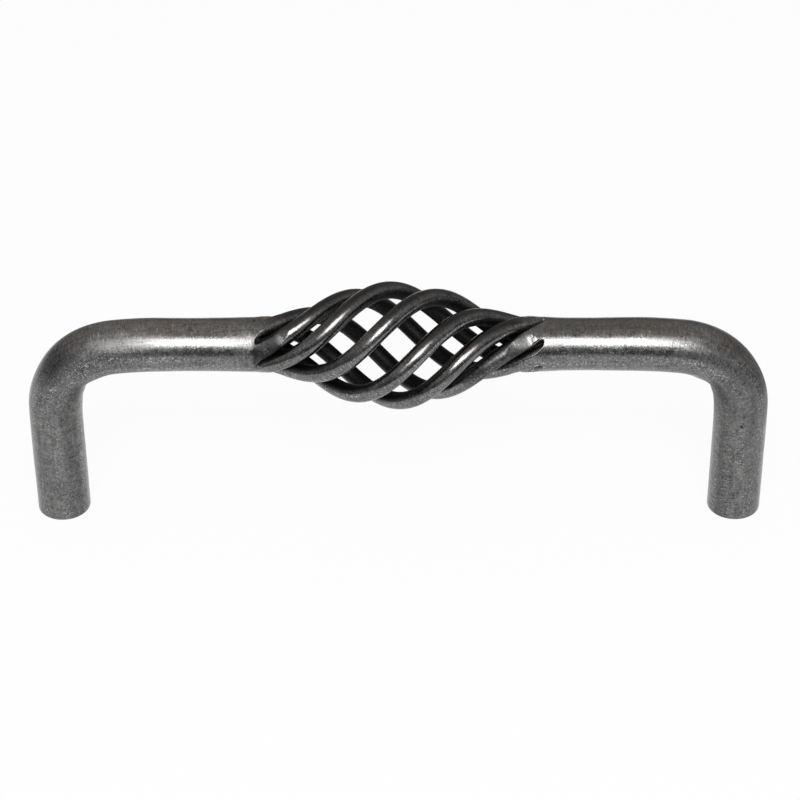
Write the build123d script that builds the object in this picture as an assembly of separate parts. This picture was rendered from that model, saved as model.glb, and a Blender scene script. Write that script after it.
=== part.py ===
"""Birdcage pull: two bent steel rods joined by a cage of six twisted wires.

Millimetres. The origin is midway between the two screw holes, on the face
that sits against the drawer front. X runs along the pull and Z away from the
drawer front. Seen from the front, the wires climb to the right.
"""

import os
from math import cos, pi, radians, sin, sqrt, tan

from build123d import *

# Rods and legs
hole_spacing = 128.0
rod_diameter = 10.0
bar_height = 37.4
bend_radius = 13.4
foot_edge = 0.3

# Tapped screw holes in the feet
tap_drill_diameter = 3.3
screw_hole_depth = 12.0
mouth_chamfer = 0.4
drill_point_angle = 118.0

# Cage of twisted wires; a lay is the length in which a wire makes one turn
wire_count = 6
wire_diameter = 3.3
wire_gap_at_weld = 0.13
cage_half_length = 23.4
cage_shift = -0.6
cage_diameter = 24.7
lay_at_weld = 44.0
lay_at_belly = 70.0
first_wire_angle = -1.7
wire_spans = 18

# Hand twisting leaves each wire a little off its place at the belly
wire_wander = (-1.0, -7.5, 2.0, 1.0, 4.5, 1.0)
wire_swell = (-0.1, -0.7, 0.35, 0.25, -0.25, 0.35)

# Weld stations, as distances from the middle of the pull
flare_start = 33.0
rod_end = 28.0
groove_start = 26.3
weld_end = 24.8
weld_tip = 21.4
grind_end = 20.5

# Grinding that leaves the weld and the wires flush, as depths below the wires' outer side
grind_at_groove = 0.55
grind_at_weld_end = 0.4
grind_at_cage = 0.1
grind_run_out = 2.0

# Weld metal and the grooves left open in it between the wires
weld_shoulder = 0.7
weld_core_depth = 2.25
groove_width = 1.0
groove_depth = 1.0

rod_radius = rod_diameter / 2
wire_radius = wire_diameter / 2

# At the weld the twisted wires lie side by side in a ring, a small gap apart
flat_ring_radius = (wire_diameter + wire_gap_at_weld) / (2 * sin(pi / wire_count))
ring_radius_at_weld = flat_ring_radius / sqrt(1 - (2 * pi * flat_ring_radius / lay_at_weld) ** 2)
ring_radius_at_belly = cage_diameter / 2 - wire_radius
bundle_radius = ring_radius_at_weld + wire_radius


def swell_share(x):
    """Share of the cage's swell at x: 1 at its middle, 0 from its ends on."""
    reach = min(1.0, abs(x - cage_shift) / cage_half_length)
    return (1 + cos(pi * reach)) / 2


def twist(x):
    """Angle that every wire has turned through between the cage's middle and x."""
    from_middle = x - cage_shift
    reach = max(-1.0, min(1.0, from_middle / cage_half_length))
    swelled_length = cage_half_length * (reach + sin(pi * reach) / pi) / 2
    rate_at_weld = 2 * pi / lay_at_weld
    rate_at_belly = 2 * pi / lay_at_belly
    return (rate_at_weld - rate_at_belly) * swelled_length - rate_at_weld * from_middle


def ring_radius(x, swell=0.0):
    """Distance of a wire's centre from the middle line of the bar."""
    rise = ring_radius_at_belly + swell - ring_radius_at_weld
    return ring_radius_at_weld + rise * swell_share(x)


def wire_angle(place, x, wander=0.0):
    """Angle of a wire's centre about the middle line; place counts wires, and may be a half."""
    angle = first_wire_angle + place * 360 / wire_count + wander * swell_share(x)
    return radians(angle) + twist(x)


def around(x, radius, angle):
    """Point at a radius and angle about the middle line of the bar."""
    return Vector(x, radius * cos(angle), bar_height + radius * sin(angle))


def revolved(outline):
    """Solid of revolution about the middle line, from (x, radius) corners."""
    corners = [(x, 0, bar_height + radius) for x, radius in outline]
    return revolve(make_face(Polyline(*corners, close=True)), Axis((0, 0, bar_height), (1, 0, 0)))


def ground_outline(side):
    """(x, radius) stations of the ground surface at one end, from the rod to the free wires."""
    run_out = grind_end - grind_run_out
    free_wire = ring_radius(side * grind_end) + wire_radius
    run_out_wire = ring_radius(side * run_out) + wire_radius
    return [
        (side * flare_start, rod_radius),
        (side * groove_start, bundle_radius - grind_at_groove),
        (side * weld_end, bundle_radius - grind_at_weld_end),
        (side * grind_end, free_wire - grind_at_cage),
        (side * run_out, run_out_wire + grind_at_cage),
    ]


def wire_tube(index):
    """One round wire as drawn, before grinding."""
    wander = wire_wander[index % len(wire_wander)]
    swell = wire_swell[index % len(wire_swell)]
    stations = [rod_end * (2 * i / wire_spans - 1) for i in range(wire_spans + 1)]
    route = [around(x, ring_radius(x, swell), wire_angle(index, x, wander)) for x in stations]
    path = Polyline(*route)
    section = Plane(origin=path @ 0, z_dir=path % 0) * Circle(wire_radius)
    return sweep(section, path=path, transition=Transition.RIGHT)


def ground_away(side):
    """What grinding takes off at one end: everything outside the ground surface."""
    outline = ground_outline(side)
    clear = 2 * bundle_radius
    return revolved([*outline, (outline[-1][0], clear), (outline[0][0], clear)])


def groove(place, side):
    """Round-ended groove between two wires, running along with them."""
    near = groove_start - groove_width / 2
    far = weld_end - groove_width
    middle = side * (near + far) / 2
    floor = bundle_radius - grind_at_groove - groove_depth
    angle = wire_angle(place, middle)
    start = around(side * near, floor, wire_angle(place, side * near))
    end = around(side * far, floor, wire_angle(place, side * far))
    plane = Plane(
        origin=around(middle, floor, angle),
        x_dir=end - start,
        z_dir=(0, cos(angle), sin(angle)),
    )
    return extrude(plane * SlotCenterToCenter((end - start).length, groove_width), bundle_radius)


def weld_metal(side):
    """Rod end that flares to the weld, with the weld's shoulder and blunt tip inside the cage."""
    outline = ground_outline(side)[:3]
    shoulder = side * (weld_end - weld_shoulder)
    return revolved(
        [
            (side * flare_start, 0),
            *outline,
            (shoulder, bundle_radius - weld_core_depth),
            (side * weld_tip, wire_radius),
            (side * weld_tip, 0),
        ]
    )


def screw_hole():
    """Blind hole for the mounting screw, with a chamfered mouth and a drill point."""
    radius = tap_drill_diameter / 2
    point = radius / tan(radians(drill_point_angle / 2))
    outline = Polyline(
        (0, 0, 0),
        (radius + mouth_chamfer, 0, 0),
        (radius, 0, mouth_chamfer),
        (radius, 0, screw_hole_depth),
        (0, 0, screw_hole_depth + point),
        close=True,
    )
    return revolve(make_face(outline), Axis.Z)


def bent_bar(side, wires):
    """Leg, bend and bar bent from one rod, with the weld that holds the wires."""
    foot = (side * hole_spacing / 2, 0, 0)
    corner = (side * hole_spacing / 2, 0, bar_height)
    path = FilletPolyline(foot, corner, (side * flare_start, 0, bar_height), radius=bend_radius)
    rod = sweep(Plane(foot) * Circle(rod_radius), path=path)
    rod = chamfer(rod.edges().group_by(Axis.Z)[0], foot_edge)
    bar = rod + weld_metal(side)
    bar -= Pos(*foot) * screw_hole()
    bar -= [groove(index + 0.5, side) for index in range(wire_count)]
    for wire in wires:
        bar -= wire
    return bar


tubes = [wire_tube(index) for index in range(wire_count)]
nodes = {"left_bar": bent_bar(-1, tubes), "right_bar": bent_bar(1, tubes)}
for index, tube in enumerate(tubes):
    nodes[f"cage_wire_{index + 1}"] = tube - [ground_away(-1), ground_away(1)]

os.makedirs("parts", exist_ok=True)
for name, solid in nodes.items():
    export_step(solid, f"parts/{name}.step")
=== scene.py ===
"""Birdcage pull: smooth twisted wires, blended welds, antiqued steel, studio light.

Shapes are worked out in millimetres in the CAD frame and written to the meshes in metres. A side
is -1 for the left end and 1 for the right one. Lengths along a bar count from the middle of the
pull, and angles about it from +Y towards its outer side.
"""

from math import cos, pi, radians, sin

import bmesh
import bpy
import numpy as np
from mathutils import Matrix, Vector


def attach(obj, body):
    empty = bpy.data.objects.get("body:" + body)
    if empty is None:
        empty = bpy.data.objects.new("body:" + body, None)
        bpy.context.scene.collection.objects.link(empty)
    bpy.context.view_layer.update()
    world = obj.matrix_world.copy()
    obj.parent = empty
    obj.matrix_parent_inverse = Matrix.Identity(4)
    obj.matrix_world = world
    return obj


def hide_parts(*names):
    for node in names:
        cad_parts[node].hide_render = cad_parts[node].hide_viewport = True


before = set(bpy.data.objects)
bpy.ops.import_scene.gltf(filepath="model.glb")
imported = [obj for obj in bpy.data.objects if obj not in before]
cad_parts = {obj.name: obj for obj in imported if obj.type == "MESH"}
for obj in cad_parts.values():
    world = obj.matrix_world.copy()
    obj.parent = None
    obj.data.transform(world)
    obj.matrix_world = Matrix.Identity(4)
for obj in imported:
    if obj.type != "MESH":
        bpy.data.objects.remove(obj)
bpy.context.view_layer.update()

MM = 0.001

# Sizes of the pull, as in the part's source
HALF_SPACING = 64.0
ROD_RADIUS = 5.0
BAR_HEIGHT = 37.4
FOOT_EDGE = 0.3
HOLE_RADIUS = 1.65
HOLE_DEPTH = 12.0
MOUTH_CHAMFER = 0.4
WIRE_COUNT = 6
WIRE_RADIUS = 1.65
GAP_AT_WELD = 0.13
CAGE_HALF = 23.4
CAGE_SHIFT = -0.6
LAY_AT_WELD = 44.0
LAY_AT_BELLY = 70.0
FIRST_ANGLE = -1.7
WANDER = (-1.0, -7.5, 2.0, 1.0, 4.5, 1.0)
SWELL = (-0.1, -0.7, 0.35, 0.25, -0.25, 0.35)
FLARE_START = 33.0
ROD_END = 28.0
GROOVE_START = 26.3
WELD_END = 24.8
WELD_TIP = 21.4
WELD_SHOULDER = 0.7
WELD_CORE_DEPTH = 2.25
GRIND_END = 20.5
GRIND_OUT = 18.5
GRIND_AT_GROOVE = 0.55
GRIND_AT_WELD_END = 0.4
GRIND_AT_CAGE = 0.1

# The cage is drawn a little slimmer than the part's, so that its smooth wires stay in the same box
CAGE_RADIUS = 12.31

# Thread in the foot, which the part's source leaves out
THREAD_PITCH = 0.7
THREAD_DEPTH = 0.3

# The rod was bent by hand: a tight arc out of the leg, then a slight sag up to the bar
BEND_RADIUS = 13.15
BEND_TIGHT = radians(83.0)
SAG_RADIUS = 78.0
SAG_TURN = pi / 2 - BEND_TIGHT
SAG_EXTRA = SAG_RADIUS * SAG_TURN - BEND_RADIUS * SAG_TURN
BEND_START = HALF_SPACING - BEND_RADIUS * (1 - cos(BEND_TIGHT)) - SAG_RADIUS * cos(BEND_TIGHT)
LEG_TOP = BAR_HEIGHT - SAG_RADIUS * (1 - sin(BEND_TIGHT)) - BEND_RADIUS * sin(BEND_TIGHT)

# Marks that the bender left: height, and middle and spread in degrees round the bend
BEND_FLAT = {-1: (0.3, 66.0, 22.0), 1: (0.2, 66.0, 22.0)}
BEND_RIDGES = ((0.08, 31.0, 10.0), (0.2, 83.5, 12.0))
PINCH_DEPTH = 0.38
PINCH_MIDDLE = 51.0
PINCH_SPREAD_BEFORE = 17.0
PINCH_SPREAD_AFTER = 8.0
PINCH_LEAN = radians(12.0)

# Slight waist beside each weld, by side: depth, and its place and spread along the bar
WAIST = {-1: (0.07, 38.5, 5.0), 1: (0.13, 33.5, 7.0)}

# How uneven the bar is, and the stretches over which that and its waist grow from nothing
UNEVEN_BAR = 0.03
UNEVEN_BAR_FROM = (26.5, 31.0)
WAIST_FROM = (26.5, 30.0)

# How far each groove in the weld starts off its place, by side and wire
GROOVE_OFFSETS = {-1: (-0.5, 0.3, -0.2, 0.4, 0.1, -0.3), 1: (0.2, -0.3, 0.3, -0.2, 0.8, 0.4)}

# A groove's round end and depth, and how it opens and deepens with the distance from that end
GROOVE_END_RADIUS = 0.5
GROOVE_DEPTH = 1.3
GROOVE_DEPTH_REACHED = (-0.05, 0.4)
GROOVE_OPENING = 0.85
GROOVE_OPENS = (0.3, 2.0)
GROOVE_DEEPENING = 0.2
GROOVE_DEEPENS = (0.6, 2.0)

# A groove runs at a slant, so it is this much narrower than what it takes up around the bar
GROOVE_SLANT = 0.87

# A wire near the weld: how uneven it is until there, how far it sinks and tapers inside, and
# where the deeper grinding begins and ends
WIRE_UNEVEN = 0.025
WIRE_UNEVEN_UNTIL = (21.0, 24.0)
WIRE_SINK = 0.1
WIRE_SINKS = (26.6, 27.5)
WIRE_TAPER = 0.5
WIRE_TAPERS = (27.0, 27.9)
DEEPER_FROM = (19.0, 21.5)
DEEPER_UNTIL = (23.6, 25.0)

# Pits, by side: length along the bar, angle in degrees, depth, half length and half width
PITS = {
    -1: ((25.8, 81.3, 0.14, 0.5, 0.5), (25.2, 84.0, 0.1, 0.35, 0.4)),
    1: ((25.1, 209.0, 0.22, 0.4, 0.3), (73.3, 183.5, 0.16, 0.28, 0.28), (24.6, 206.0, 0.12, 0.2, 0.2)),
}

# Deeper hand grinding on some wires, by side and wire
GROUND_DEEPER = {(1, 5): 0.4, (1, 0): 0.25, (1, 4): 0.15, (-1, 0): 0.3, (-1, 5): 0.15, (-1, 2): 0.2}

# Painted shade beside the weld, by side and wire: how much, and where it starts, is full and ends
PAINTED_WELD_SHADE = {(-1, 0): (0.8, 20.4, 22.2, 26.3), (1, 5): (0.5, 11.0, 15.0, 23.6)}
PAINTED_WELD_SHADE_EDGE = 0.4

# Strips of painted shade along the bend and the leg: angle in degrees, strength, and where it starts
PAINTED_SHADE_STRIPS = ((-38.0, 4.5, 58.0), (-142.0, 4.5, 58.0), (38.0, 2.4, 67.0), (142.0, 2.4, 67.0))

# Patch of painted shade in each bend, by side: angle in degrees, strength, and spread in radians
BEND_PAINTED_SHADE = {-1: (134.0, 0.55, 0.6), 1: (108.0, 0.32, 0.7)}

# Where the drawn surface passes from wire to weld, and how deep the other one hides beneath it
HAND_OVER = (25.0, 25.9)
HIDE = 0.015

# Offsets along the streaks, so that no two pieces show the same ones
NEXT_WIRE = 90.0
LEFT_BAR = 300.0
IN_HOLE = 500.0

# Points around the bar, a wire and the hole, and rings along a wire
AROUND_BAR = 240
AROUND_WIRE = 56
AROUND_HOLE = 48
WIRE_RINGS = 380

# Further than any length along the bar
FAR = 80.0

# At the weld the wires lie side by side in a ring
SIXTH = 2 * pi / WIRE_COUNT
FLAT_RING = (2 * WIRE_RADIUS + GAP_AT_WELD) / (2 * sin(pi / WIRE_COUNT))
RING_AT_WELD = FLAT_RING / np.sqrt(1 - (2 * pi * FLAT_RING / LAY_AT_WELD) ** 2)
BUNDLE = RING_AT_WELD + WIRE_RADIUS

# Colours of the steel, in the order in which they are laid over each other
DARK_STEEL = (0.06, 0.06, 0.061)
PALE_STEEL = (0.268, 0.266, 0.263)
BROWN_CAST = (0.18, 0.15, 0.135)
BARE_FLECK = (0.62, 0.62, 0.62)
BARE_SCRATCH = (0.48, 0.48, 0.48)
# Brown of painted shade
PAINTED_SHADE_BROWN = (0.022, 0.021, 0.02)
# Black of patina in the grooves and pits, and of painted shade
OXIDE_AND_SHADE_BLACK = (0.008, 0.008, 0.009)

# Camera above the front, aimed at a point on the Z axis: millimetres, degrees, and pixels of a
# picture 800 wide for its scale at that point and for its shifts
PICTURE_WIDTH = 800
SENSOR_WIDTH = 36.0
PIXELS_PER_MM = 5.35
CAMERA_DISTANCE = 520.0
TARGET_HEIGHT = 22.0
CAMERA_AZIMUTH = 0.57
CAMERA_ELEVATION = 36.5
CAMERA_ROLL = -0.41
SHIFT_RIGHT = 2.1
SHIFT_UP = 11.6


# Shapes of the cage and of the ground weld


def ease(value, low, high):
    """0 at low, 1 at high, with soft ends."""
    t = np.clip((value - low) / (high - low), 0.0, 1.0)
    return t * t * (3 - 2 * t)


def bell(value, middle, spread):
    """1 at the middle, falling off softly on both sides."""
    return np.exp(-(((value - middle) / spread) ** 2))


def turned_from(angles, degrees):
    """Angles counted from a direction given in degrees, between -pi and pi."""
    return (angles - radians(degrees) + pi) % (2 * pi) - pi


def soft_min(a, b, k):
    """Smaller of two values, blended where they are less than k apart."""
    h = np.clip(0.5 + 0.5 * (b - a) / k, 0.0, 1.0)
    return b + (a - b) * h - k * h * (1 - h)


def soft_max(a, b, k):
    """Larger of two values, blended where they are less than k apart."""
    return -soft_min(-a, -b, k)


def swell_share(x):
    """Share of the cage's swell at x: 1 at its middle, 0 from its ends on."""
    reach = np.minimum(1.0, np.abs(x - CAGE_SHIFT) / CAGE_HALF)
    return (1 + np.cos(pi * reach)) / 2


def twist(x):
    """Angle that every wire has turned through between the cage's middle and x."""
    from_middle = x - CAGE_SHIFT
    reach = np.clip(from_middle / CAGE_HALF, -1.0, 1.0)
    swelled = CAGE_HALF * (reach + np.sin(pi * reach) / pi) / 2
    at_weld = 2 * pi / LAY_AT_WELD
    at_belly = 2 * pi / LAY_AT_BELLY
    return (at_weld - at_belly) * swelled - at_weld * from_middle


def ring_radius(x, swell=0.0):
    """Distance of a wire's centre from the middle line of the bar."""
    rise = CAGE_RADIUS - WIRE_RADIUS + swell - RING_AT_WELD
    return RING_AT_WELD + rise * swell_share(x)


def wire_angle(place, x, wander=0.0):
    """Angle of a wire's centre about the middle line; place counts the wires."""
    return np.radians(FIRST_ANGLE + place * 360 / WIRE_COUNT + wander * swell_share(x)) + twist(x)


def ground_table(side):
    """Radius of the ground surface against the distance from the middle, corners softened."""
    free_wire = ring_radius(side * GRIND_END) + WIRE_RADIUS
    run_out = ring_radius(side * GRIND_OUT) + WIRE_RADIUS
    clear_of_cage = 4.0
    corners = (
        (0.0, run_out + clear_of_cage),
        (GRIND_OUT, run_out + GRIND_AT_CAGE),
        (GRIND_END, free_wire - GRIND_AT_CAGE),
        (WELD_END, BUNDLE - GRIND_AT_WELD_END),
        (GROOVE_START, BUNDLE - GRIND_AT_GROOVE),
        (FLARE_START, ROD_RADIUS),
        (FAR, ROD_RADIUS),
    )
    x = np.arange(0.0, 60.0, 0.05)
    sharp = np.interp(x, *zip(*corners))
    softening = 16
    kernel = np.hanning(2 * softening + 1)
    kernel /= kernel.sum()
    padded = np.pad(sharp, softening, mode="edge")
    return x, np.convolve(padded, kernel, mode="valid")


GROUND = {side: ground_table(side) for side in (-1, 1)}


def ground(side, distance):
    """Radius of the ground surface at a distance from the middle."""
    return np.interp(distance, *GROUND[side])


def ripple(along, angle, seed):
    """Slight unevenness of a hand-worked rod, between -1 and 1."""
    waves = np.random.default_rng(seed)
    total = 0.0
    for _ in range(7):
        length = waves.uniform(5.0, 22.0)
        turns = waves.integers(-3, 4)
        total = total + np.sin(2 * pi * along / length + turns * angle + waves.uniform(0, 2 * pi))
    return total / 7


# Meshes


def ring_faces(rows, around, first=0):
    """Four-sided faces between rings of points that follow each other."""
    i = np.arange(rows - 1)[:, None]
    j = np.arange(around)[None, :]
    a = first + i * around + j
    b = first + i * around + (j + 1) % around
    return np.stack([a, b, b + around, a + around], -1).reshape(-1, 4).tolist()


def add_piece(name, points, faces, flow, looks, material, node):
    """One finished piece; looks holds how black, how much painted shade and how matt each point is."""
    mesh = bpy.data.meshes.new(name)
    mesh.from_pydata((np.asarray(points) * MM).tolist(), [], faces)
    attribute = mesh.attributes.new("flow", "FLOAT_VECTOR", "POINT")
    attribute.data.foreach_set("vector", np.asarray(flow, dtype=np.float32).ravel())
    for key, values in zip(("oxide_and_shade", "shade", "matt"), looks):
        attribute = mesh.attributes.new(key, "FLOAT", "POINT")
        attribute.data.foreach_set("value", np.asarray(values, dtype=np.float32).ravel())
    work = bmesh.new()
    work.from_mesh(mesh)
    bmesh.ops.recalc_face_normals(work, faces=work.faces)
    work.to_mesh(mesh)
    work.free()
    mesh.polygons.foreach_set("use_smooth", [True] * len(mesh.polygons))
    mesh.update()
    mesh.materials.append(material)
    piece = bpy.data.objects.new(name, mesh)
    bpy.context.scene.collection.objects.link(piece)
    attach(piece, "root")
    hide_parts(node)


# Nodes that the materials are made of


def add(tree, kind, **values):
    """A new node with the given settings."""
    node = tree.nodes.new(kind)
    for key, value in values.items():
        setattr(node, key, value)
    return node


def new_material(name):
    material = bpy.data.materials.new(name)
    material.use_nodes = True
    material.node_tree.nodes.clear()
    return material, material.node_tree


def math_node(tree, operation, a, b, clamp=False):
    """Sum, product or the like of two values, each an output or a number."""
    node = add(tree, "ShaderNodeMath", operation=operation, use_clamp=clamp)
    for socket, value in zip(node.inputs, (a, b)):
        if isinstance(value, (int, float)):
            socket.default_value = value
        else:
            tree.links.new(value, socket)
    return node.outputs[0]


def multiply(tree, a, b):
    return math_node(tree, "MULTIPLY", a, b)


def total_of(tree, parts):
    """Sum of several outputs."""
    total = parts[0]
    for part in parts[1:]:
        total = math_node(tree, "ADD", total, part)
    return total


def attribute_of(tree, name, output="Fac"):
    return add(tree, "ShaderNodeAttribute", attribute_name=name).outputs[output]


def parts_of(tree, vector):
    """X, Y and Z of a vector, as outputs with those names."""
    node = add(tree, "ShaderNodeSeparateXYZ")
    tree.links.new(vector, node.inputs[0])
    return node.outputs


def stretched(tree, vector, along, around):
    """A piece's flow, scaled along it and around it."""
    node = add(tree, "ShaderNodeMapping")
    node.inputs["Scale"].default_value = (along, around, around)
    tree.links.new(vector, node.inputs["Vector"])
    return node.outputs["Vector"]


def noise(tree, vector, scale, detail, rough):
    node = add(tree, "ShaderNodeTexNoise")
    node.inputs["Scale"].default_value = scale
    node.inputs["Detail"].default_value = detail
    node.inputs["Roughness"].default_value = rough
    tree.links.new(vector, node.inputs["Vector"])
    return node.outputs["Fac"]


def span(tree, value, low, high, to_low, to_high):
    """A value between low and high, carried over to the range between to_low and to_high."""
    node = add(tree, "ShaderNodeMapRange", clamp=True)
    tree.links.new(value, node.inputs["Value"])
    for key, number in zip(("From Min", "From Max", "To Min", "To Max"), (low, high, to_low, to_high)):
        node.inputs[key].default_value = number
    return node.outputs["Result"]


def mix_colour(tree, factor, a, b):
    """Colour a where the factor is 0 and b where it is 1."""
    node = add(tree, "ShaderNodeMix", data_type="RGBA", blend_type="MIX")
    for socket, value in ((node.inputs[0], factor), (node.inputs[6], a), (node.inputs[7], b)):
        if isinstance(value, tuple):
            socket.default_value = (*value, 1.0)
        else:
            tree.links.new(value, socket)
    return node.outputs[2]


def mix_shader(tree, factor, a, b, output_kind):
    """Shader a where the factor is 0 and b where it is 1, joined to the output."""
    blend = add(tree, "ShaderNodeMixShader")
    tree.links.new(factor, blend.inputs["Fac"])
    tree.links.new(a.outputs[0], blend.inputs[1])
    tree.links.new(b.outputs[0], blend.inputs[2])
    output = add(tree, output_kind)
    tree.links.new(blend.outputs[0], output.inputs["Surface"])


# Antiqued steel


def steel(name):
    """Antiqued steel: dark patina, fine rubbed speckle, faint drawn streaks, brown cast on top, painted
    shade.
    """
    material, tree = new_material(name)
    place = add(tree, "ShaderNodeTexCoord").outputs["Object"]
    height = parts_of(tree, place)["Z"]
    upward = parts_of(tree, add(tree, "ShaderNodeNewGeometry").outputs["Normal"])["Z"]
    flow = attribute_of(tree, "flow", "Vector")
    oxide_and_shade = attribute_of(tree, "oxide_and_shade")
    shade = attribute_of(tree, "shade")
    matt = attribute_of(tree, "matt")

    # Patterns: scale, detail and roughness of each
    grain = noise(tree, place, 2300.0, 3.0, 0.7)
    fleck = noise(tree, place, 3300.0, 1.0, 0.5)
    mottle = noise(tree, place, 520.0, 4.0, 0.68)
    cloud = noise(tree, place, 75.0, 2.0, 0.5)
    tint = noise(tree, place, 160.0, 3.0, 0.6)
    drawn = stretched(tree, flow, 0.16, 2.6)
    streak = noise(tree, drawn, 1.0, 3.0, 0.6)
    scuff = noise(tree, stretched(tree, flow, 3.4, 0.35), 1.0, 2.0, 0.6)
    filed = noise(tree, stretched(tree, flow, 7.0, 0.6), 1.0, 1.0, 0.5)

    # Dark and pale steel, mixed by the sum of the patterns
    weights = ((grain, 0.62), (mottle, 0.34), (cloud, 0.1), (streak, 0.2), (scuff, 0.16))
    tone = total_of(tree, [span(tree, field, 0.3, 0.7, -weight, weight) for field, weight in weights])
    colour = mix_colour(tree, span(tree, tone, -0.8, 0.8, 0.0, 1.0), DARK_STEEL, PALE_STEEL)

    # Brown cast on what faces up
    on_top = span(tree, upward, 0.45, 0.95, 0.0, 1.0)
    cast = multiply(tree, span(tree, tint, 0.35, 0.7, 0.1, 0.75), on_top)
    colour = mix_colour(tree, cast, colour, BROWN_CAST)

    # Bare flecks, fainter on top and on the legs, and bare scratches, where the steel was rubbed
    rubbed = span(tree, noise(tree, drawn, 0.3, 2.0, 0.5), 0.4, 0.6, 0.12, 0.85)
    bare = multiply(tree, span(tree, fleck, 0.57, 0.69, 0.0, 1.0), rubbed)
    bare = multiply(tree, bare, span(tree, upward, 0.2, 0.8, 1.0, 0.2))
    bare = multiply(tree, bare, span(tree, height, 0.026, 0.033, 0.6, 1.0))
    colour = mix_colour(tree, bare, colour, BARE_FLECK)
    scratch = span(tree, filed, 0.6, 0.7, 0.0, 0.7)
    colour = mix_colour(tree, multiply(tree, scratch, rubbed), colour, BARE_SCRATCH)

    # Painted shade, most on what faces up and some on what faces down
    shade_by_facing = span(tree, upward, 0.6, 0.97, 0.08, 0.9)
    shade_by_facing = math_node(tree, "ADD", shade_by_facing, span(tree, upward, -0.75, -0.1, 0.4, 0.0))
    colour = mix_colour(tree, multiply(tree, shade, shade_by_facing), colour, PAINTED_SHADE_BROWN)
    # Black: patina in the grooves and pits, painted shade in the grooves, on the wires and in the bends
    colour = mix_colour(tree, oxide_and_shade, colour, OXIDE_AND_SHADE_BLACK)

    rough = span(tree, mottle, 0.3, 0.7, 0.2, 0.32)
    rough = math_node(tree, "ADD", rough, span(tree, grain, 0.3, 0.7, -0.05, 0.05))
    rough = math_node(tree, "ADD", rough, multiply(tree, matt, 0.24))
    rough = math_node(tree, "ADD", rough, multiply(tree, oxide_and_shade, 0.35), clamp=True)

    weights = ((grain, 0.55), (mottle, 1.0), (streak, 0.35), (scuff, 0.25))
    bump = add(tree, "ShaderNodeBump")
    bump.inputs["Strength"].default_value = 1.0
    bump.inputs["Distance"].default_value = 0.000017
    relief = total_of(tree, [multiply(tree, field, weight) for field, weight in weights])
    tree.links.new(relief, bump.inputs["Height"])

    shader = add(tree, "ShaderNodeBsdfPrincipled")
    shader.inputs["Metallic"].default_value = 1.0
    tree.links.new(colour, shader.inputs["Base Color"])
    tree.links.new(rough, shader.inputs["Roughness"])
    tree.links.new(bump.outputs["Normal"], shader.inputs["Normal"])
    output = add(tree, "ShaderNodeOutputMaterial")
    tree.links.new(shader.outputs[0], output.inputs["Surface"])
    return material


bar_steel = steel("bar_steel")
wire_steel = steel("wire_steel")


# Cage wires


def wire_line(index, x):
    """Middle line of a wire, its outward and sideways directions, and the length travelled."""

    def centre(at):
        radius = ring_radius(at, SWELL[index])
        angle = wire_angle(index, at, WANDER[index])
        return np.stack([at, radius * np.cos(angle), BAR_HEIGHT + radius * np.sin(angle)], -1)

    middle = centre(x)
    along = centre(x + 0.01) - centre(x - 0.01)
    along /= np.linalg.norm(along, axis=1, keepdims=True)
    outward = middle - np.stack([x, 0 * x, 0 * x + BAR_HEIGHT], -1)
    outward -= along * (outward * along).sum(1, keepdims=True)
    outward /= np.linalg.norm(outward, axis=1, keepdims=True)
    sideways = np.cross(along, outward)
    travelled = np.concatenate([[0.0], np.cumsum(np.linalg.norm(np.diff(middle, axis=0), axis=1))])
    return middle, outward, sideways, travelled


def ground_flush(index, side, away, sunk, points):
    """Points of a wire, drawn in where it was ground flush with the weld."""
    limit = np.where(side < 0, ground(-1, away), ground(1, away)) - sunk
    deeper = np.where(side < 0, GROUND_DEEPER.get((-1, index), 0.0), GROUND_DEEPER.get((1, index), 0.0))
    limit = limit - deeper * ease(away, *DEEPER_FROM) * (1 - ease(away, *DEEPER_UNTIL))
    reach_out = np.hypot(points[..., 1], points[..., 2] - BAR_HEIGHT)
    kept = soft_min(reach_out, limit[:, None] + 0 * reach_out, 0.08)
    ground_here = (reach_out > limit[:, None] - 0.2) & (away[:, None] > GRIND_OUT - 0.5)
    scale = np.where(ground_here, kept / reach_out, 1.0)
    points[..., 1] *= scale
    points[..., 2] = BAR_HEIGHT + (points[..., 2] - BAR_HEIGHT) * scale
    return points


def wire_looks(index, side, away, turn):
    """Painted shade and mattness of a wire: black on its inner side and beside some welds, and shade all
    over.
    """
    # Painted shade on the inner side of each wire
    black = 0.92 * ease(-np.cos(turn), -0.45, 0.4)[None, :] * (1 - ease(away, 24.0, 26.0))[:, None]
    # Painted shade beside some welds
    for (end, shaded_wire), (amount, start, full, stop) in PAINTED_WELD_SHADE.items():
        if shaded_wire == index:
            begun = amount * (side == end) * ease(away, start, full)
            weld_shade = begun * (1 - ease(away, stop - PAINTED_WELD_SHADE_EDGE, stop + PAINTED_WELD_SHADE_EDGE))
            black = np.maximum(black, weld_shade[:, None])
    # Painted shade over the cage up to the welds, most on what faces up
    shade = np.broadcast_to((1 - ease(away, 20.5, 26.5))[:, None], black.shape)
    return black, shade, np.full_like(black, -0.1)


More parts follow.
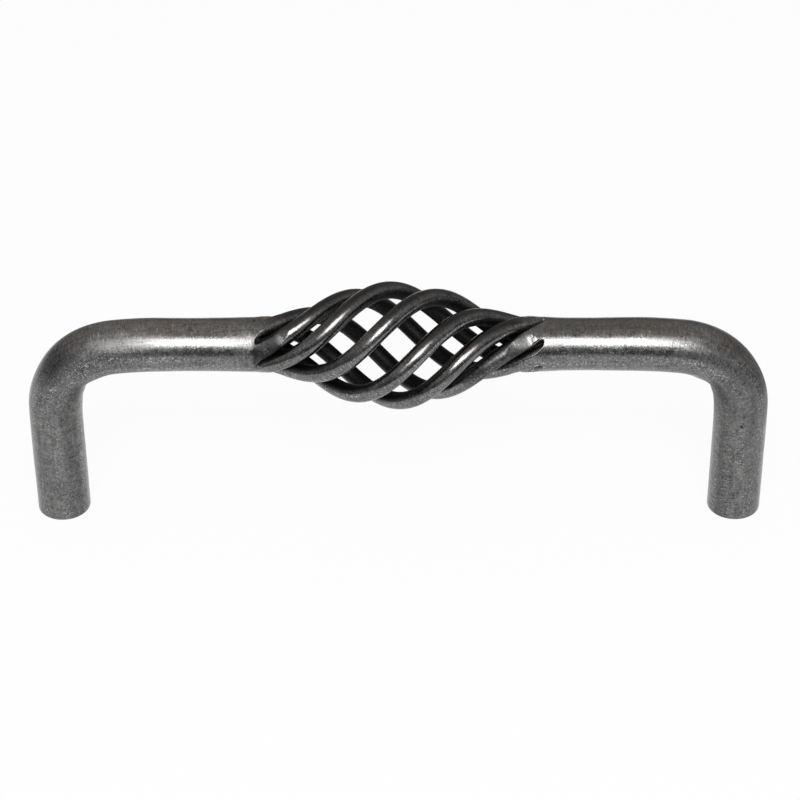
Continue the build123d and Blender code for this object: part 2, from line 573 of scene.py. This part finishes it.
def wire_piece(index):
    """Cage wire, from inside one weld to inside the other."""
    x = np.linspace(-ROD_END + 0.1, ROD_END - 0.1, WIRE_RINGS)
    side = np.where(x < 0, -1, 1)
    away = np.abs(x)
    middle, outward, sideways, travelled = wire_line(index, x)

    # Thinner inside the weld, and a little uneven where it is free
    turn = np.linspace(0, 2 * pi, AROUND_WIRE, endpoint=False)
    sunk = HIDE * ease(away, *HAND_OVER) + WIRE_SINK * ease(away, *WIRE_SINKS)
    radius = WIRE_RADIUS - sunk - WIRE_TAPER * ease(away, *WIRE_TAPERS)
    free = 1 - ease(away, *WIRE_UNEVEN_UNTIL)
    uneven = WIRE_UNEVEN * free[:, None] * (ripple(travelled[:, None], turn[None, :], 40 + index) - 1)
    radius = radius[:, None] + uneven
    points = (
        middle[:, None, :]
        + radius[..., None] * np.cos(turn)[None, :, None] * outward[:, None, :]
        + radius[..., None] * np.sin(turn)[None, :, None] * sideways[:, None, :]
    )
    points = ground_flush(index, side, away, sunk, points)
    flow = np.stack(
        [
            np.broadcast_to(travelled[:, None], radius.shape) + NEXT_WIRE * index,
            WIRE_RADIUS * np.cos(turn)[None, :] + 0 * radius,
            WIRE_RADIUS * np.sin(turn)[None, :] + 0 * radius,
        ],
        -1,
    )
    last_ring = (WIRE_RINGS - 1) * AROUND_WIRE
    faces = ring_faces(WIRE_RINGS, AROUND_WIRE)
    faces.append(list(range(AROUND_WIRE)))
    faces.append(list(range(last_ring, last_ring + AROUND_WIRE)))
    add_piece(
        f"twisted_wire_{index + 1}",
        points.reshape(-1, 3),
        faces,
        flow.reshape(-1, 3),
        wire_looks(index, side, away, turn),
        wire_steel,
        f"cage_wire_{index + 1}",
    )


for number in range(WIRE_COUNT):
    wire_piece(number)


# Welds at the bars' inner ends


def wire_distance(x, radius, angle, place):
    """Distance from points, given by polar angle, to a wire's surface near the weld."""
    y = radius * np.cos(angle)
    z = radius * np.sin(angle)
    at = x + 0 * y
    step = 0.01
    for _ in range(3):
        r = ring_radius(at)
        a = wire_angle(place, at)
        r_next = ring_radius(at + step)
        a_next = wire_angle(place, at + step)
        cy = r * np.cos(a)
        cz = r * np.sin(a)
        ty = (r_next * np.cos(a_next) - cy) / step
        tz = (r_next * np.sin(a_next) - cz) / step
        at = at + ((x - at) + (y - cy) * ty + (z - cz) * tz) / (1 + ty * ty + tz * tz)
    r = ring_radius(at)
    a = wire_angle(place, at)
    gap = np.sqrt((x - at) ** 2 + (y - r * np.cos(a)) ** 2 + (z - r * np.sin(a)) ** 2)
    return gap - WIRE_RADIUS


def weld_surface(side, away, offsets):
    """Radius of the weld and of the wires in it, for each distance from the middle and each angle."""
    x = side * away[:, None, None]
    offsets = offsets[None, :, None]
    angle = wire_angle(0, x) + offsets
    nearest = np.round(offsets / SIXTH)
    local = offsets - SIXTH * nearest
    second = nearest + np.where(local < 0, -1, 1)
    limit = ground(side, away)[:, None, None]

    # Blunt tip inside the cage, and the shell that the grooves are cut in
    core = BUNDLE - 2.1
    corners = (
        (WELD_TIP, WIRE_RADIUS),
        (WELD_END - WELD_SHOULDER, BUNDLE - WELD_CORE_DEPTH),
        (WELD_END, core),
        (FAR, core),
    )
    tip = np.interp(away, *zip(*corners))[:, None, None]
    shell = ease(away, WELD_END - 0.15, WELD_END + 0.25)[:, None, None]

    # Groove between two wires: round at its outer end, opening to the natural gap between the wires
    between = np.floor(offsets / SIXTH).astype(int) % WIRE_COUNT
    starts = GROOVE_START + np.array(GROOVE_OFFSETS[side])[between]
    run = starts - away[:, None, None]
    round_end = np.sqrt(1 - (1 - np.clip(run / GROOVE_END_RADIUS, 0.0, 1.0)) ** 2)
    half_width = GROOVE_END_RADIUS * round_end + GROOVE_OPENING * ease(run, *GROOVE_OPENS)
    depth = GROOVE_DEPTH * ease(run, *GROOVE_DEPTH_REACHED) + GROOVE_DEEPENING * ease(run, *GROOVE_DEEPENS)
    hide = HIDE * (1 - ease(away, *HAND_OVER))[:, None, None]
    across_angle = SIXTH / 2 - np.abs(local)
    with_wires = (away > WELD_END - 0.2)[:, None, None]

    def field(radius):
        """Below 0 inside the metal, for each radius that is tried."""
        across = radius * across_angle * GROOVE_SLANT
        wall = np.where(half_width > 0.02, 1 - ease(across, half_width - 0.16, half_width + 0.14), 0.0)
        metal = radius - (tip + shell * np.maximum(limit - depth * wall - tip, 0.0))
        to_nearest = wire_distance(x, radius, angle, nearest)
        to_second = wire_distance(x, radius, angle, second)
        wires = np.minimum(to_nearest, to_second)
        joined = np.where(with_wires, soft_min(metal, wires + hide, 0.2), metal)
        return soft_max(joined, radius - (limit - hide), 0.05)

    # The outermost radius that is inside, found by steps and then by halving
    step = 0.15
    levels = np.arange(6.4, 1.2, -step)[None, None, :] + 0 * angle
    first = np.argmax(field(levels) < 0, axis=2)[..., None]
    low = np.take_along_axis(levels, first, 2)
    high = low + step
    for _ in range(11):
        half = (low + high) / 2
        is_in = field(half) < 0
        low = np.where(is_in, half, low)
        high = np.where(is_in, high, half)
    return ((low + high) / 2)[..., 0]


# Bent bars


def bar_route(side, nose):
    """Rings along the bent rod: places, outward directions, radii and lengths; nose is the weld's."""
    straight = np.arange(nose[-1] + 0.6, BEND_START - 0.3, 0.6)
    lengths = [*nose, *straight]
    places = [(side * x, 0, BAR_HEIGHT) for x in lengths]
    ups = [(0, 0, 1)] * len(lengths)

    sag_middle = (BEND_START, BAR_HEIGHT - SAG_RADIUS)
    tight_middle = (HALF_SPACING - BEND_RADIUS, LEG_TOP)
    bend = [(t, SAG_RADIUS, sag_middle, 0.0) for t in np.linspace(0, SAG_TURN, 18)]
    bend += [(t, BEND_RADIUS, tight_middle, SAG_EXTRA) for t in np.linspace(SAG_TURN, pi / 2, 46)[1:]]
    for t, radius, (middle_x, middle_z), before in bend:
        places.append((side * (middle_x + radius * sin(t)), 0, middle_z + radius * cos(t)))
        ups.append((side * sin(t), 0, cos(t)))
        lengths.append(BEND_START + before + radius * t)
    radii = [ROD_RADIUS] * len(places)

    # Leg with closer rings under the bend, and the rounded edge of the foot
    below_bend = np.arange(LEG_TOP - 0.12, LEG_TOP - 2.5, -0.12)
    down_leg = np.arange(LEG_TOP - 2.9, FOOT_EDGE + 0.3, -0.5)
    leg = [(z, ROD_RADIUS) for z in (*below_bend, *down_leg)]
    for a in np.radians([0, 22, 45, 67, 90]):
        leg.append((FOOT_EDGE * (1 - sin(a)), ROD_RADIUS - FOOT_EDGE * (1 - cos(a))))
    leg.append((0.0, ROD_RADIUS - FOOT_EDGE - 0.05))
    leg_start = lengths[-1]
    for z, radius in leg:
        places.append((side * HALF_SPACING, 0, z))
        ups.append((side, 0, 0))
        radii.append(radius)
        lengths.append(leg_start + LEG_TOP - z)
    return np.array(places), np.array(ups), np.array(radii), np.array(lengths)


def bend_marks(side, lengths, angles):
    """Flattened outer side of the bend, and the pinch in its inner side."""
    turn = np.degrees((lengths - BEND_START - SAG_EXTRA) / BEND_RADIUS)
    depth, middle, spread = BEND_FLAT[side]
    flat = depth * bell(turn, middle, spread) * np.clip(np.sin(angles), 0, 1) ** 1.5
    inner = np.clip(-np.sin(angles + PINCH_LEAN), 0, 1) ** 1.5
    ridges = sum(height * bell(turn, middle, spread) for height, middle, spread in BEND_RIDGES)
    spread = np.where(turn < PINCH_MIDDLE, PINCH_SPREAD_BEFORE, PINCH_SPREAD_AFTER)
    pinch = PINCH_DEPTH * bell(turn, PINCH_MIDDLE, spread)
    return inner * (ridges - pinch) - flat


def pit_hollows(side, lengths, angles):
    """For each pit its depth and the share of it at each point."""
    hollows = []
    for along, degrees, depth, half_length, half_width in PITS[side]:
        across = turned_from(angles, degrees) * ROD_RADIUS
        hollows.append((depth, bell(lengths, along, half_length) * bell(across, 0.0, half_width)))
    return hollows


def worked_radii(side, radii, lengths, angles):
    """The bar's radii with its unevenness, waist, bend marks and pits."""
    uneven = UNEVEN_BAR * (ripple(lengths, angles, 7 + side) - 1.0) * ease(lengths, *UNEVEN_BAR_FROM)
    depth, along, spread = WAIST[side]
    waist = depth * bell(lengths, along, spread) * ease(lengths, *WAIST_FROM)
    radii = radii + uneven - waist
    radii = radii + bend_marks(side, lengths, angles)
    for depth, share in pit_hollows(side, lengths, angles):
        radii = radii - depth * share
    return radii


def bar_black(side, radii, lengths, angles, offsets):
    """How black: patina in grooves and pits, painted shade in grooves, beside some wires and in the bend.
    """
    # Patina and painted shade in the grooves
    black = np.clip((ground(side, lengths) - radii) / 1.3, 0.0, 1.0) * (lengths < 27.5) * 0.85
    # Painted shade beside some wires at the weld
    for (end, index), (amount, _, _, stop) in PAINTED_WELD_SHADE.items():
        if end == side:
            beside = bell(turned_from(offsets, index * 360 / WIRE_COUNT), 0.0, 0.5)
            weld_shade = amount * beside * (1 - ease(lengths, stop - PAINTED_WELD_SHADE_EDGE, stop + PAINTED_WELD_SHADE_EDGE))
            black = np.maximum(black, weld_shade)
    for _, share in pit_hollows(side, lengths, angles):
        black = np.maximum(black, 0.9 * np.clip(1.3 * share, 0.0, 1.0))
    # Painted shade in the bend
    degrees, strength, spread = BEND_PAINTED_SHADE[side]
    patch = strength * bell(turned_from(angles, degrees), 0.0, spread)
    if side < 0:
        patch = patch * bell(lengths, 61.0, 4.5)
    else:
        patch = patch * ease(lengths, 54.0, 62.0) * (1 - ease(lengths, 67.4, 69.0))
    return np.maximum(black, patch)


def bar_shade(side, lengths, angles):
    """How much painted shade each point has: in strips along the bend and leg, and faintly on the right
    bar.
    """
    shade = 0.0
    for degrees, strength, start in PAINTED_SHADE_STRIPS:
        strip = bell(turned_from(angles, degrees), 0.0, 0.42)
        shade = shade + strength * strip * ease(lengths, start, start + 8.0)
    # Faint painted shade over the right bar up to its bend
    if side > 0:
        shade = shade + 0.24 * (1 - ease(lengths, 48.0, 56.0))
    return shade


def bar_matt(side, lengths):
    """How matt the bender left the bar."""
    if side < 0:
        near_weld = 0.6 * (1 - ease(lengths, 26.5, 32.0))
        return ease(lengths, 40.0, 52.0) * (1 - ease(lengths, 57.0, 65.0)) + near_weld
    matt = 0.35 * ease(lengths, 44.0, 54.0) + 0.65 * ease(lengths, 56.0, 62.0)
    return matt * (1 - ease(lengths, 68.0, 78.0))


def foot_hole(side, rim_angle):
    """Rings of the tapped hole, from the foot's face to the drill point."""
    # Height, radius and depth of thread of each ring
    rings = [(0.0, HOLE_RADIUS + MOUTH_CHAMFER + 0.05, 0.0), (0.0, HOLE_RADIUS + MOUTH_CHAMFER, 0.0)]
    rings += [(MOUTH_CHAMFER * t, HOLE_RADIUS + MOUTH_CHAMFER * (1 - t), 0.0) for t in (0.1, 0.5, 0.9)]
    rings += [(z, HOLE_RADIUS, THREAD_DEPTH) for z in np.arange(MOUTH_CHAMFER, HOLE_DEPTH - 0.6, 0.1)]
    rings += [(HOLE_DEPTH - 0.5, HOLE_RADIUS, 0.0), (HOLE_DEPTH, HOLE_RADIUS, 0.0)]
    rings += [(HOLE_DEPTH + 0.9, 0.12, 0.0)]
    hole = []
    for z, radius, thread in rings:
        tooth = np.abs(2 * ((z / THREAD_PITCH + rim_angle * side / (2 * pi)) % 1.0) - 1)
        fade = min(1.0, max(0.0, (z - 0.2) / 0.5))
        r = radius + thread * tooth * fade
        x = side * HALF_SPACING + side * r * np.sin(rim_angle)
        hole.append(np.stack([x, r * np.cos(rim_angle), 0 * r + z], -1))
    return np.array(hole)


def bar_faces(rows, hole_rows):
    """Faces of the bar and its hole, with the foot's face between them."""
    faces = ring_faces(rows, AROUND_BAR)
    faces.append(list(range(AROUND_BAR)))
    first = rows * AROUND_BAR
    bottom = first + (hole_rows - 1) * AROUND_HOLE
    faces += ring_faces(hole_rows, AROUND_HOLE, first)
    faces.append([bottom + j for j in range(AROUND_HOLE)])
    ratio = AROUND_BAR // AROUND_HOLE
    edge = (rows - 1) * AROUND_BAR
    for j in range(AROUND_HOLE):
        outer = [edge + (j * ratio + k) % AROUND_BAR for k in range(ratio + 1)]
        faces.append(outer + [first + (j + 1) % AROUND_HOLE, first + j])
    return faces


def bar_piece(side):
    """Bent bar with its weld and its tapped hole."""
    name = "left" if side < 0 else "right"
    offsets = (np.arange(AROUND_BAR) - AROUND_BAR / 12) * 2 * pi / AROUND_BAR

    # Rings lie closest where the grooves and the wires are
    weld = np.concatenate([np.arange(WELD_TIP, 24.3, 0.2), np.arange(24.35, 27.5, 0.08)])
    flare = np.arange(27.6, FLARE_START + 0.5, 0.3)
    nose = np.concatenate([weld, flare])
    places, ups, rod_radii, lengths = bar_route(side, nose)
    radii = np.repeat(rod_radii[:, None], AROUND_BAR, axis=1)
    radii[: len(weld)] = weld_surface(side, weld, offsets)
    radii[len(weld) : len(nose)] = ground(side, flare)[:, None]

    # The points turn with the wires up to the end of the flare, and then run straight
    angles = wire_angle(0, side * np.minimum(lengths, nose[-1]))[:, None] + offsets[None, :]
    lengths = lengths[:, None]
    matt = np.broadcast_to(bar_matt(side, lengths), angles.shape)
    shade = bar_shade(side, lengths, angles)
    black = bar_black(side, radii, lengths, angles, offsets)
    radii = worked_radii(side, radii, lengths, angles)
    across = np.array((0.0, 1.0, 0.0))
    points = (
        places[:, None, :]
        + (radii * np.cos(angles))[..., None] * across
        + (radii * np.sin(angles))[..., None] * ups[:, None, :]
    )
    flow = np.stack(
        [
            np.broadcast_to(lengths, angles.shape) + (LEFT_BAR if side < 0 else 0.0),
            ROD_RADIUS * np.cos(angles),
            ROD_RADIUS * np.sin(angles),
        ],
        -1,
    )
    hole = foot_hole(side, angles[-1][:: AROUND_BAR // AROUND_HOLE])
    # Darker deeper into the hole
    hole_black = np.repeat(np.linspace(0.0, 0.6, len(hole)), AROUND_HOLE)
    plain = np.zeros(hole_black.size)
    add_piece(
        f"{name}_bent_bar",
        np.concatenate([points.reshape(-1, 3), hole.reshape(-1, 3)]),
        bar_faces(len(places), len(hole)),
        np.concatenate([flow.reshape(-1, 3), hole.reshape(-1, 3) + (IN_HOLE, 0.0, 0.0)]),
        (
            np.concatenate([black.ravel(), hole_black]),
            np.concatenate([shade.ravel(), plain]),
            np.concatenate([matt.ravel(), plain]),
        ),
        bar_steel,
        f"{name}_bar",
    )


bar_piece(-1)
bar_piece(1)


# Floor, light and camera


def seen_in_metal_too(tree, share=1.0):
    """1 for rays from the camera, and a share of it for rays that metal or glass sends on."""
    path = add(tree, "ShaderNodeLightPath")
    sent_on = math_node(tree, "MAXIMUM", path.outputs["Is Glossy Ray"], path.outputs["Is Transmission Ray"])
    sent_on = multiply(tree, sent_on, share)
    return math_node(tree, "MAXIMUM", path.outputs["Is Camera Ray"], sent_on)


def build_floor():
    """Pale floor, almost white to the camera and in the metal, with the pull's shadow kept faint."""
    near, far, half = -0.14, 0.32, 0.32
    corners = [(-half, near, 0), (half, near, 0), (half, far, 0), (-half, far, 0)]
    mesh = bpy.data.meshes.new("floor")
    mesh.from_pydata(corners, [], [(0, 1, 2, 3)])
    floor = bpy.data.objects.new("floor", mesh)
    bpy.context.scene.collection.objects.link(floor)
    material, tree = new_material("floor_paper")
    diffuse = add(tree, "ShaderNodeBsdfDiffuse")
    diffuse.inputs["Color"].default_value = (0.8, 0.8, 0.8, 1.0)
    glow = add(tree, "ShaderNodeEmission")
    glow.inputs["Color"].default_value = (1.0, 1.0, 1.0, 1.0)
    glow.inputs["Strength"].default_value = 1.0
    seen = multiply(tree, seen_in_metal_too(tree), 0.93)
    mix_shader(tree, seen, diffuse, glow, "ShaderNodeOutputMaterial")
    mesh.materials.append(material)


def build_world():
    """Grey studio, brighter overhead, with a white backdrop behind the pull."""
    world = bpy.data.worlds.new("studio")
    bpy.context.scene.world = world
    world.use_nodes = True
    tree = world.node_tree
    tree.nodes.clear()
    direction = parts_of(tree, add(tree, "ShaderNodeTexCoord").outputs["Generated"])
    ramp = add(tree, "ShaderNodeValToRGB")
    tree.links.new(span(tree, direction["Z"], -1.0, 1.0, 0.0, 1.0), ramp.inputs["Fac"])
    level, overhead = ramp.color_ramp.elements
    level.position = 0.5
    level.color = (0.13, 0.13, 0.135, 1.0)
    overhead.position = 1.0
    overhead.color = (0.6, 0.585, 0.56, 1.0)
    for position, colour in ((0.6, (0.27, 0.268, 0.265)), (0.73, (0.5, 0.49, 0.475))):
        element = ramp.color_ramp.elements.new(position)
        element.color = (*colour, 1.0)
    room = add(tree, "ShaderNodeBackground")
    tree.links.new(ramp.outputs["Color"], room.inputs["Color"])
    room.inputs["Strength"].default_value = 1.0
    white = add(tree, "ShaderNodeBackground")
    white.inputs["Color"].default_value = (1.0, 1.0, 1.0, 1.0)
    white.inputs["Strength"].default_value = 1.0
    behind = span(tree, direction["Y"], 0.1, 0.4, 0.0, 1.0)
    low = span(tree, direction["Z"], -0.3, -0.05, 1.0, 0.0)
    seen = seen_in_metal_too(tree, multiply(tree, behind, low))
    mix_shader(tree, seen, room, white, "ShaderNodeOutputWorld")


def towards(azimuth, elevation):
    """Direction from the pull; in radians, azimuth from the front and elevation above the floor."""
    return Vector((sin(azimuth) * cos(elevation), -cos(azimuth) * cos(elevation), sin(elevation)))


def softbox(name, azimuth, elevation, distance, width, height, power):
    """Softbox that faces the pull; angles in degrees, sizes in metres, power in watts."""
    light = bpy.data.lights.new(name, "AREA")
    light.shape = "RECTANGLE"
    light.size = width
    light.size_y = height
    light.energy = power
    lamp = bpy.data.objects.new(name, light)
    bpy.context.scene.collection.objects.link(lamp)
    back = towards(radians(azimuth), radians(elevation))
    aim = Vector((0, 0, 0.03))
    right = Vector((0, 0, 1)).cross(back).normalized()
    up = back.cross(right)
    turn = Matrix((right, up, back)).transposed().to_4x4()
    lamp.matrix_world = Matrix.Translation(aim + back * distance) @ turn


def build_camera():
    """Camera above the front, looking down on the pull."""
    focal_pixels = PIXELS_PER_MM * CAMERA_DISTANCE
    camera = bpy.data.cameras.new("camera")
    camera.sensor_width = SENSOR_WIDTH
    camera.lens = SENSOR_WIDTH * focal_pixels / PICTURE_WIDTH
    camera.shift_x = SHIFT_RIGHT / PICTURE_WIDTH
    camera.shift_y = SHIFT_UP / PICTURE_WIDTH
    camera.clip_start = 0.01
    eye = bpy.data.objects.new("camera", camera)
    bpy.context.scene.collection.objects.link(eye)
    azimuth, elevation, roll = radians(CAMERA_AZIMUTH), radians(CAMERA_ELEVATION), radians(CAMERA_ROLL)
    back = towards(azimuth, elevation)
    right = Vector((cos(azimuth), sin(azimuth), 0))
    up = back.cross(right)
    right_turned = cos(roll) * right + sin(roll) * up
    up_turned = -sin(roll) * right + cos(roll) * up
    turn = Matrix((right_turned, up_turned, back)).transposed().to_4x4()
    target = Vector((0, 0, TARGET_HEIGHT * MM))
    eye.matrix_world = Matrix.Translation(target + back * (CAMERA_DISTANCE * MM)) @ turn
    bpy.context.scene.camera = eye


build_floor()
build_world()
softbox("front_softbox", azimuth=0.0, elevation=44.0, distance=1.0, width=0.6, height=0.54, power=9.0)
build_camera()
bpy.context.scene.view_settings.view_transform = "Standard"
